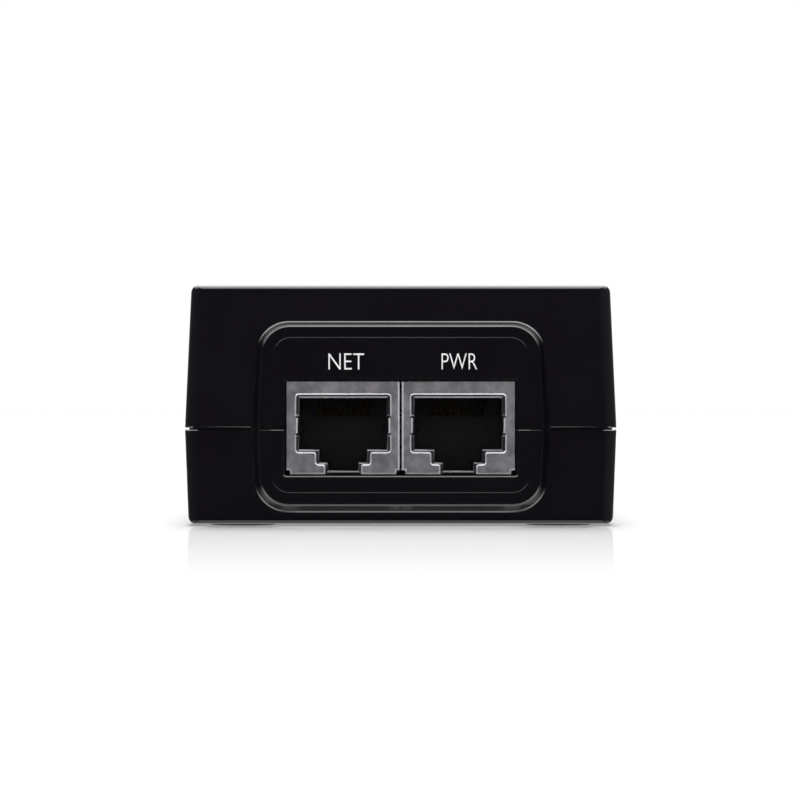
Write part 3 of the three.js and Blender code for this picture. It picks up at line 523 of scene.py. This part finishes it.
def inner_points(outer, half):
    """The inside skin: each outside point drawn back into the hollow of the case, a wall's thickness in."""
    x, y, h = np.moveaxis(outer, -1, 0)
    h_in = np.minimum(h, half["height"] - WALL)
    room = HALF_WIDTH - WALL - half["slope"] * h_in
    x_in = np.clip(x, -room, room)
    backing_top = BACKING_TOP if half is UPPER else half["height"]
    backing = (np.abs(x_in) <= BACKING_HALF_WIDTH) & (h_in <= backing_top) & (y < 0)
    limit = np.where(backing, PANEL_BACK_Y, HALF_LENGTH - WALL - half["slope"] * h_in)
    inner = np.stack([x_in, np.clip(y, -limit, limit), h_in], axis=-1)
    inner[:, [0, -1], 2] = RIM
    return inner


def rim_strip(outer, inner, half):
    """The rim of the wall, from the outside edge across to the inside one: a rounded lip, then the tongue of
    the lower shell or the groove of the upper one, as [share of the wall, height] steps."""
    if half is UPPER:
        lip = [(0, LIP), (0.009, 0.09), (0.03, 0.0), (0.06, 0.0)]
        middle = [(0.25, 0.0), (0.26, 1.35), (0.84, 1.35), (0.85, 0.0)]
    else:
        lip = [(0, LIP), (0.003, 0.114), (0.048, 0.0), (0.08, 0.0)]
        middle = [(0.3, 0.0), (0.31, -0.95), (0.36, -1.05), (0.74, -1.05), (0.79, -0.95), (0.8, 0.0)]
    steps = np.array([*lip, *middle, (1, 0)])
    size = np.ones(len(outer))
    size[:2], size[-2:] = 0, 0  # the tongue and the groove run out at the two windows
    size[2:9] = np.linspace(0, 1, 9)[1:-1]
    across = outer[:, None, :2] * (1 - steps[None, :, :1]) + inner[:, None, :2] * steps[None, :, :1]
    rise = np.where(steps[:, 0] > 0.1, size[:, None] * steps[:, 1], steps[:, 1])
    return np.concatenate([across, (RIM + rise)[..., None]], axis=-1)


def shell(name, half):
    """One half of the case: outside, inside, a wall round each window and two rims, as one closed skin."""
    outer = outer_rings(half)
    inner = inner_points(outer, half)
    inner[0] = outer[0] * [1, 0, 1] + [0, -PANEL_BACK_Y, 0]
    inner[0][[0, -1], 2] = RIM
    rims = [rim_strip(outer[:, end], inner[:, end], half) for end in (0, -1)]
    grids = [outer, inner, *rims]
    grids += [np.stack([outer[end], inner[end]]) for end in (0, -1)]
    caps = [rim[end] for rim in rims for end in (0, -1)]
    flip = np.array([1, 1, half["up"]])
    lift = np.array([0, 0, PARTING])
    return closed_mesh(name, [(g * flip + lift, False) for g in grids], [c * flip + lift for c in caps])


def post(radius, bottom, top, centre):
    """A plain cylinder, as a cutter or a boss."""
    return lathe("post", [[0, bottom], [radius, bottom], [radius, top], [0, top]], centre, 48)


def at_corners(make):
    """What make builds about a spot, once at each corner screw."""
    return merged("corners", [make(spot) for spot in CORNERS.values()])


def chamfered_well(radius, depth, centre, top):
    """A round pocket up from below with a small chamfer at its mouth."""
    mouth = BASE + 0.2
    profile = [[0, -1], [radius + 0.2, -1], [radius + 0.2, BASE - 0.01], [radius, mouth], [radius, depth],
               [3, depth], [3, top], [1.6, top], [1.6, BOARD_TOP], [0, BOARD_TOP]]
    return lathe("well", profile, centre, 64)


def make_case():
    lower = shell("lower_case_moulding", LOWER)
    lower = boolean(lower, at_corners(lambda spot: post(4.3, BASE + 1, BOARD_TOP - 1.6, spot)), "UNION")
    lower = boolean(lower, at_corners(lambda s: chamfered_well(5.2, BASE + 1, s, 3.35)), "DIFFERENCE")
    pocket = bar("label_pocket", section(30, 68, 1.5, 6), 2, (BASE - 1, BASE + 0.3))
    lower = boolean(lower, pocket, "DIFFERENCE")
    show("lower_case_moulding", sealed(lower, BASE), CASE_ABS,
         stands_for=["lower_shell"], sharp=25)

    upper = shell("upper_case_moulding", UPPER)
    upper = boolean(upper, at_corners(lambda spot: post(3.2, BOARD_TOP + 0.1, TOP - 1, spot)), "UNION")
    upper = boolean(upper, at_corners(lambda spot: post(1.6, 0, 19.3, spot)), "DIFFERENCE")
    hole = [[0, 20], [1.55, 20], [1.55, TOP - 0.15], [1.75, TOP + 0.05], [1.75, TOP + 1], [0, TOP + 1]]
    upper = boolean(upper, lathe("pipe_hole", hole, (0, PIPE_Y), 48), "DIFFERENCE")
    show("upper_case_moulding", sealed(upper), CASE_ABS,
         stands_for=["upper_shell"], sharp=25)


def make_legend(name, text, centre):
    """Printed letters over a jack: a text outline laid on the port panel and scaled to its printed size."""
    curve = bpy.data.curves.new(name, "FONT")
    curve.body = text
    curve.extrude = 0.01
    curve.offset = -0.012  # thins the strokes
    holder = bpy.data.objects.new(name + "_text", curve)
    scene.collection.objects.link(holder)
    bpy.context.view_layer.update()
    mesh = bpy.data.meshes.new_from_object(holder.evaluated_get(bpy.context.evaluated_depsgraph_get()))
    bpy.data.objects.remove(holder)
    flat = np.zeros(3 * len(mesh.vertices))
    mesh.vertices.foreach_get("co", flat)
    flat = flat.reshape(-1, 3)
    low, high = flat.min(axis=0), flat.max(axis=0)
    across, up, out = np.moveaxis((flat - low) / (high - low), -1, 0)
    width, height, bottom, thick = 5.05, 2.27, 22.12, 0.03
    placed = np.stack([
        centre + (across - 0.5) * width,
        -PANEL_Y + 0.01 - out * thick,
        bottom + up * height,
    ], axis=-1)
    mesh.vertices.foreach_set("co", (placed * MM).ravel())
    mesh.update()
    show(name, mesh, LEGEND_INK)


# ---- Jacks -----------------------------------------------------------------------------------------------
CONTACT_HINGE = (3.7, 11.42)
CONTACT_BEND = 0.45


def in_jack(middle, x):
    """Points in mm in a jack's own frame: about its middle, from its front plane and its lowest edge."""
    return middle - [x, JACK_Y, JACK_BOTTOM]


def make_shield(jack, x):
    """The folded sheet: soft bends round the front, small radii in the window's corners, and a painted
    highlight on the window's edges and on the folds beside the other jack.
    """
    node = f"{jack}_jack_shield"

    def window_corner(middle, along):
        spot = in_jack(middle, x)
        inside = (np.abs(spot[:, 0]) < 7.3) & (spot[:, 2] > 0.3) & (spot[:, 2] < 11.8) & (spot[:, 1] < 0.26)
        by_tongue = (np.abs(spot[:, 0]) > 6.6) & (np.abs(spot[:, 2] - TONGUE_Z) < 1.5)
        return inside & (np.abs(along[:, 1]) > 0.9) & ~by_tongue

    def fold(middle, along):
        spot = in_jack(middle, x)
        outer = (np.abs(spot[:, 0]) > 7.95) | (spot[:, 2] > 13.05)
        front = (spot[:, 1] < 0.01) & outer
        roof = (np.abs(spot[:, 0]) > 7.95) & (spot[:, 2] > 13.05)
        return front | roof

    def inner_fold(middle, along):
        by_other_jack = in_jack(middle, x)[:, 0] * np.sign(-x) > 7.95
        return fold(middle, along) & by_other_jack & (np.abs(along[:, 2]) > 0.9)

    def window_edge(middle, along):
        spot = in_jack(middle, x)
        in_notch = (np.abs(spot[:, 0]) > 6.8) & (np.abs(spot[:, 2] - TONGUE_Z) < 1.4)
        return (spot[:, 1] < 0.02) & (np.abs(spot[:, 0]) < 7.95) & (spot[:, 2] < 12) & ~in_notch

    mesh = refined(
        node,
        (window_corner, -0.36, 5, 0),
        # The folds beside the other jack and the window's edges take the painted highlight; at the folds it
        # stands against the shade between the two jacks.
        (inner_fold, 0.26, 3, 1),
        (fold, 0.3, 4, 0),
        (window_edge, -0.2, 1, 1),
    )
    roots = []
    for hand in (-1, 1):  # the sheet runs on into each tongue, flush with the front
        loop = section(0.36, 2.62, 0.02) + [x + hand * 6.91, JACK_BOTTOM + TONGUE_Z]
        roots.append(bar("root", loop, 1, (JACK_Y, JACK_Y + SHEET)))
    mesh = merged(node, [mesh, *roots])
    show(f"{jack}_shield_sheet", mesh, (SHIELD_TIN, SHIELD_PAINTED_HIGHLIGHT), stands_for=[node])


def make_jack_body(jack, x):
    """The moulding: chamfered edges, the level ones at its mouth with a painted highlight, and thin comb ribs
    between the contacts."""
    node = f"{jack}_jack_body"

    def mouth_edge(middle, along):
        spot = in_jack(middle, x)
        inside = (np.abs(spot[:, 0]) < 6.9) & (spot[:, 2] > 0.2) & (spot[:, 2] < 12.2)
        return inside & (spot[:, 1] < 0.36) & (np.abs(along[:, 1]) < 0.5)

    def deeper_edge(middle, along):
        return in_jack(middle, x)[:, 1] > 0.8

    mesh = refined(node, (mouth_edge, -0.25, 1, 1), (deeper_edge, 0.1, 1, 0))
    # Only the chamfers that face up or down keep the painted highlight.
    for face in mesh.polygons:
        if abs(face.normal.z) < 0.5:
            face.material_index = 0
    ribs = []
    for i in range(9):
        loop = section(0.28, 1.6, 0.1) + [x + (i - 4) * CONTACT_PITCH, JACK_BOTTOM + 11.6]
        ribs.append(bar("rib", loop, 1, (JACK_Y + 4.6, JACK_Y + 12.61)))
    show(f"{jack}_jack_moulding", mesh, (JACK_NYLON, JACK_PAINTED_HIGHLIGHT), stands_for=[node])
    show(f"{jack}_contact_comb", merged(f"{jack}_contact_comb", ribs), JACK_NYLON)


def make_contacts(jack, x):
    """Eight sprung wires: a bend of 160 degrees under the roof, then a limb straight on to the tip. Behind
    the bend each wire runs on along the roof and turns down to the board, in two rows."""
    y, z = CONTACT_HINGE
    turn = np.radians(np.linspace(90, 250, 17))
    bend = np.stack([y + CONTACT_BEND * np.cos(turn), z + CONTACT_BEND * np.sin(turn)], axis=-1)
    limb = np.linspace(bend[-1], [10.9, 8.3], 8)[1:]
    spring = np.concatenate([[[y + 0.9, z + CONTACT_BEND]], bend, limb])
    loop = section(0.46, 0.3, 0.09)
    runs = []
    for i in range(8):
        across = x + (i - 3.5) * CONTACT_PITCH
        offset = (across, JACK_Y, JACK_BOTTOM)
        node = f"{jack}_contact_{i + 1}"
        wire = swept(node + "_wire", spring, loop, (1, 2), offset)
        show(node + "_wire", wire, GOLD, body=node, stands_for=[node])
        back = 14.6 if i % 2 else 16.4
        run = rounded([[y + 0.95, z + CONTACT_BEND], [back, z + CONTACT_BEND], [back, -2.9]], 0.9, 8)
        runs.append(swept("run", run, loop, (1, 2), offset))
    show(f"{jack}_contact_runs", merged(f"{jack}_contact_runs", runs), GOLD)


def make_ground_springs(jack, x):
    """Two tongues that lean in from the window's sides, with a curled tip: a strip swept along a rounded
    path."""
    path = [[6.7, 0.14], [6.56, 0.14], [6.4, 0.9], [5.75, 2.9], [5.6, 3.5], [5.75, 4.1]]
    path = rounded(path, [0, 0.13, 0.5, 0.5, 0.5, 0])
    for hand, side in ((-1, "left"), (1, "right")):
        node = f"{jack}_ground_spring_{side}"
        middle = (x, JACK_Y, JACK_BOTTOM + TONGUE_Z)
        strip = swept(node, path * [hand, 1], section(2.15, SHEET, 0.1), (0, 1), middle)
        for face in strip.polygons:
            # The tongues' ends at the window's edge take the painted highlight.
            face.material_index = int(abs(face.center.x / MM - x) > 6.4)
        finish = (SPRING_TIN, SHIELD_PAINTED_HIGHLIGHT)
        show(f"{jack}_ground_tongue_{side}", strip, finish, body=node, stands_for=[node])


# ---- Mains inlet -----------------------------------------------------------------------------------------
def make_inlet():
    show("inlet_moulding", refined("inlet_body", (every_edge, 0.35, 3, 0)), INLET_NYLON,
         stands_for=["inlet_body"])
    for pole in ("live", "neutral", "earth"):
        node = f"inlet_{pole}_pin"
        blade = refined(node, (every_edge, 0.4, 4, 0))
        show(f"{pole}_blade", blade, NICKEL, stands_for=[node])


# ---- Feet, screws and the light pipe ---------------------------------------------------------------------
def make_fixings():
    for name, spot in CORNERS.items():
        outline = [[0, 0], [4.6, 0], [5, 0.4], [5, BASE + 0.95], [0, BASE + 0.95]]
        foot = rounded(outline, [0, 0.3, 0.25, 0.2, 0])
        show(f"foot_disc_{name}", lathe("foot", foot, spot), RUBBER,
             stands_for=[f"rubber_foot_{name}"])
        show(f"thread_forming_screw_{name}", screw_mesh(spot), ZINC,
             stands_for=[f"case_screw_{name}"])
    lid, collar = TOP - 0.1, TOP - WALL - 0.1
    profile = [[0, BOARD_TOP + 4], [1.45, BOARD_TOP + 4], [1.45, collar - 1], [2.5, collar - 1],
               [2.5, collar], [1.45, collar], [1.45, lid], [0, lid]]
    pipe = lathe("pipe", rounded(profile, 0.12, 4), (0, PIPE_Y), 48)
    show("light_pipe_rod", pipe, ACRYLIC, stands_for=["status_light_pipe"])


def screw_mesh(spot):
    """A pan head screw, head down: the thread's radius swings between core and crest once for each pitch of
    height less a turn's share of the angle, which makes a helix, and it fades out at both ends."""
    bottom, head_top, tip, pitch = BASE + 1.2, BASE + 3, BASE + 17, 1.2
    head = [[0, bottom], [2.3, bottom], [2.7, bottom + 0.6], [2.7, head_top], [1.1, head_top]]
    head = rounded(head, 0.3, 4)
    shank = np.column_stack([np.full(131, 1.1), np.linspace(head_top, tip - 1.5, 131)])
    end = np.array([[0.7, tip - 0.5], [0.25, tip], [0, tip]])
    profile = np.concatenate([head, shank[1:], end])
    angle = np.linspace(0, 2 * math.pi, 24, endpoint=False)
    radius, height = profile[:, :1], profile[:, 1:]
    phase = (height / pitch - angle / (2 * math.pi)) % 1
    on = np.clip((height - head_top - 0.3) / 0.8, 0, 1) * np.clip((tip - 1.5 - height) / 1.5, 0, 1)
    radius = radius + 0.35 * np.clip(1 - np.abs(phase - 0.5) * 4, 0, 1) * on
    x, y = spot[0] + radius * np.cos(angle), spot[1] + radius * np.sin(angle)
    grid = np.stack([x, y, height + 0 * angle], axis=-1)
    return closed_mesh("screw", [(grid, True)])


# ---- Board and components --------------------------------------------------------------------------------
def component(node, material, width=0.25, segments=2):
    """A component that is right as it stands, with its edges rounded."""
    mesh = refined(node, (every_edge, width, segments, 0))
    return show(f"fitted_{node}", mesh, material, stands_for=[node])


def can(node, radius, height, material):
    """A rolled-edge can: the groove near its foot and the shoulder of its lid follow one rounded profile."""
    low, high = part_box(node)
    centre = ((low + high) / 2 / MM)[:2]
    base = low.z / MM
    profile = rounded([
        [0, 0], [radius, 0], [radius, 1.5], [radius - 0.5, 2.1], [radius, 2.7], [radius, height - 0.1],
        [radius - 0.7, height], [radius - 1.1, height - 0.35], [0, height - 0.35],
    ], [0, 0.3, 0.5, 0.5, 0.5, 0.5, 0.3, 0.3, 0])
    mesh = lathe(node, profile + [0, base], centre)
    show(f"rolled_{node}", mesh, material, stands_for=[node])


def make_choke_winding():
    """Turns of wire on a square leg: a rounded outline carried along the leg, swelling and sinking by
    |sin| once for each turn, with the leg's square hole through it."""
    low, high = (np.array(c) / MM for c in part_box("filter_choke_winding"))
    turns, wire = 13, 0.45
    share = np.linspace(0, 1, turns * 8 + 1)
    swell = wire * (np.abs(np.sin(share * turns * math.pi)) - 1)
    centre, size = (low + high) / 2, high - low
    loop = section(size[1], size[2], 1.6, 5)
    unit = loop / np.linalg.norm(loop, axis=1, keepdims=True)
    outer = loop[None] + unit[None] * swell[:, None, None]
    leg_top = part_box("filter_choke_core")[1].z / MM
    hole = section(5.6, 3.6, 0.02, 5) + [0, leg_top - 1.5 - centre[2]]
    x = low[0] + share * size[0]
    x = x[:, None, None] + 0 * outer[..., :1]
    rings = np.concatenate([x, outer + centre[1:]], axis=-1)
    inner = np.concatenate([x, hole[None] + centre[1:] + 0 * outer], axis=-1)
    ends = [np.stack([rings[e], inner[e]]) for e in (0, -1)]
    mesh = closed_mesh("turns", [(rings, True), (inner, True), (ends[0], True), (ends[1], True)])
    show("choke_wire_turns", mesh, COPPER, stands_for=["filter_choke_winding"])


def make_board():
    component("main_board", LAMINATE, 0.08)
    for node in ("ethernet_transformer", "output_diode", "optocoupler", "switching_transistor",
                 "bridge_rectifier"):
        component(node, EPOXY, 0.2)
    for node in ("transformer_core", "filter_choke_core"):
        component(node, FERRITE, 0.3)
    component("transformer_winding", TAPE, 1.2, 5)
    for node in ("diode_heatsink", "transistor_heatsink"):
        component(node, ALUMINIUM, 0.2)
    component("safety_capacitor", CERAMIC, 0.25)
    component("filter_capacitor", FILM_BOX, 0.5, 4)
    for node in ("output_capacitor_1", "output_capacitor_2"):
        can(node, 5, 16, SLEEVE)
    can("bulk_capacitor", 8.8, 22, SLEEVE)
    can("fuse", 4.2, 8, EPOXY)
    make_choke_winding()
    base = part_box("output_inductor")[0].z / MM
    drum = [[0, 0], [4.5, 0], [4.5, 1.4], [3.6, 1.6], [3.6, 8.4], [4.5, 8.6], [4.5, 10], [0, 10]]
    drum = rounded(drum, 0.25)
    show("drum_inductor", lathe("drum", drum + [0, base], (-22.5, -28)), FERRITE,
         stands_for=["output_inductor"])
    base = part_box("status_led")[0].z / MM
    dome = rounded([[0, 0], [1.9, 0], [1.9, 0.8], [1.5, 0.8], [1.5, 2.4], [1.25, 3.3], [0.7, 3.6], [0, 3.6]],
                   [0, 0.1, 0.1, 0.1, 0.6, 0.6, 0.5, 0])
    show("domed_lamp", lathe("lamp", dome + [0, base], (0, PIPE_Y)), LED_EPOXY,
         stands_for=["status_led"])


make_case()
make_legend("data_legend", "NET", -7.7)
make_legend("power_legend", "PWR", 8.3)
for jack, jack_x in JACKS.items():
    make_shield(jack, jack_x)
    make_jack_body(jack, jack_x)
    make_contacts(jack, jack_x)
    make_ground_springs(jack, jack_x)
make_inlet()
make_fixings()
make_board()


# ---- Floor and light -------------------------------------------------------------------------------------
def make_floor():
    """A large pale floor. It mirrors what stands on it a little, and less the nearer it is to the viewer."""
    reach = 6.0
    floor = flat_stage("floor", (-reach, -reach, reach, reach), 0)
    tree = floor.data.materials[0].node_tree
    place = add(tree, "TexCoord").outputs["Object"]
    y = add(tree, "SeparateXYZ", {"Vector": place}).outputs["Y"]
    fade = {"Value": y, "From Min": -0.235, "From Max": -0.055, "To Min": 0.0, "To Max": 0.31}
    plain = add(tree, "BsdfDiffuse", {"Color": (0.77, 0.77, 0.77, 1)})
    mirror = add(tree, "BsdfGlossy", {"Color": (1, 1, 1, 1), "Roughness": 0.03})
    share = add(tree, "MapRange", fade).outputs["Result"]
    mixed = add(tree, "MixShader", {"Fac": share, 1: plain.outputs[0], 2: mirror.outputs[0]})
    add(tree, "OutputMaterial", {"Surface": mixed.outputs[0]})
    floor.visible_glossy = False


def make_under_shade():
    """A painted reflection for the case's own lower edges: a dim glowing sheet under the case, seen only in
    reflections, that stands in for the shaded gap between the case and the floor.
    """
    shade = flat_stage("under_shade", (-0.0305, -0.0544, 0.0305, 0.055), 0.00002)
    tree = shade.data.materials[0].node_tree
    # Painted reflection: a dim glow in place of the shade under the case.
    dim = add(tree, "Emission", {"Color": (1, 1, 1, 1), "Strength": 0.9})
    add(tree, "OutputMaterial", {"Surface": dim.outputs[0]})
    for ray in ("camera", "diffuse", "transmission", "volume_scatter", "shadow"):
        setattr(shade, "visible_" + ray, False)


def flat_stage(name, box, height):
    """A level rectangle that isn't part of the object, with an empty material."""
    x0, y0, x1, y1 = box
    mesh = bpy.data.meshes.new(name)
    corners = [(x, y, height) for x, y in ((x0, y0), (x1, y0), (x1, y1), (x0, y1))]
    mesh.from_pydata(corners, [], [(0, 1, 2, 3)])
    material = bpy.data.materials.new(name + "_finish")
    material.use_nodes = True
    material.node_tree.nodes.clear()
    mesh.materials.append(material)
    item = bpy.data.objects.new(name, mesh)
    scene.collection.objects.link(item)
    return item


# Light by direction, as soft cards: a strength, and for each axis where the card starts and where it is full.
MIRRORED = [
    (4.8, ("Y", -0.4, -0.12), ("Z", 0.3, 0.6)),  # overhead
    (8.0, ("Y", -0.3, -0.1), ("Y", 0.22, 0.05), ("Z", -0.3, -0.75)),  # underneath
    (1.0, ("Y", 0.9, 0.95), ("Z", 0.25, 0.15)),  # the bright sweep behind
    (0.12, ("X", 0.4, 0.9), ("Z", 0.6, 0.3)),  # the two sides
    (0.06, ("X", -0.4, -0.9), ("Z", 0.6, 0.3)),
]
SOFT = [
    # a narrow strip overhead
    (16.8, ("Z", 0.55, 0.85), ("Y", -0.5, 0.1), ("X", -0.22, -0.03), ("X", 0.22, 0.03)),
    (2.2, ("Y", -0.4, -0.7), ("Z", 0.5, 0.3)),  # level, from the front
]


def cards(tree, way, table, base):
    """The light that a table of cards gives in each direction: a base, plus each card's strength times how
    far the direction is into the card along each of its axes."""
    total = base
    for strength, *edges in table:
        share = strength
        for axis, start, full in edges:
            into = add(tree, "MapRange", {"Value": way[axis], "From Min": start, "From Max": full})
            share = add(tree, "Math", {0: into.outputs["Result"], 1: share}, operation="MULTIPLY").outputs[0]
        total = add(tree, "Math", {0: share, 1: total}, operation="ADD").outputs[0]
    return total


def make_light():
    """Shiny surfaces mirror one set of cards, matt surfaces are lit by another, and the camera sees plain
    white."""
    world = bpy.data.worlds.new("studio")
    scene.world = world
    world.use_nodes = True
    tree = world.node_tree
    tree.nodes.clear()
    way = add(tree, "SeparateXYZ", {"Vector": add(tree, "TexCoord").outputs["Generated"]}).outputs
    mirrored, soft = cards(tree, way, MIRRORED, 0.066), cards(tree, way, SOFT, 0.03)
    ray = add(tree, "LightPath").outputs
    lit = {"Factor": ray["Is Glossy Ray"], 2: soft, 3: mirrored}
    seen = {"Factor": ray["Is Camera Ray"], 2: add(tree, "Mix", lit, data_type="FLOAT").outputs[0], 3: 1.0}
    strength = add(tree, "Mix", seen, data_type="FLOAT").outputs[0]
    light = add(tree, "Background", {"Color": (1, 1, 1, 1), "Strength": strength})
    add(tree, "OutputWorld", {"Surface": light.outputs[0]})


make_floor()
make_under_shade()
make_light()
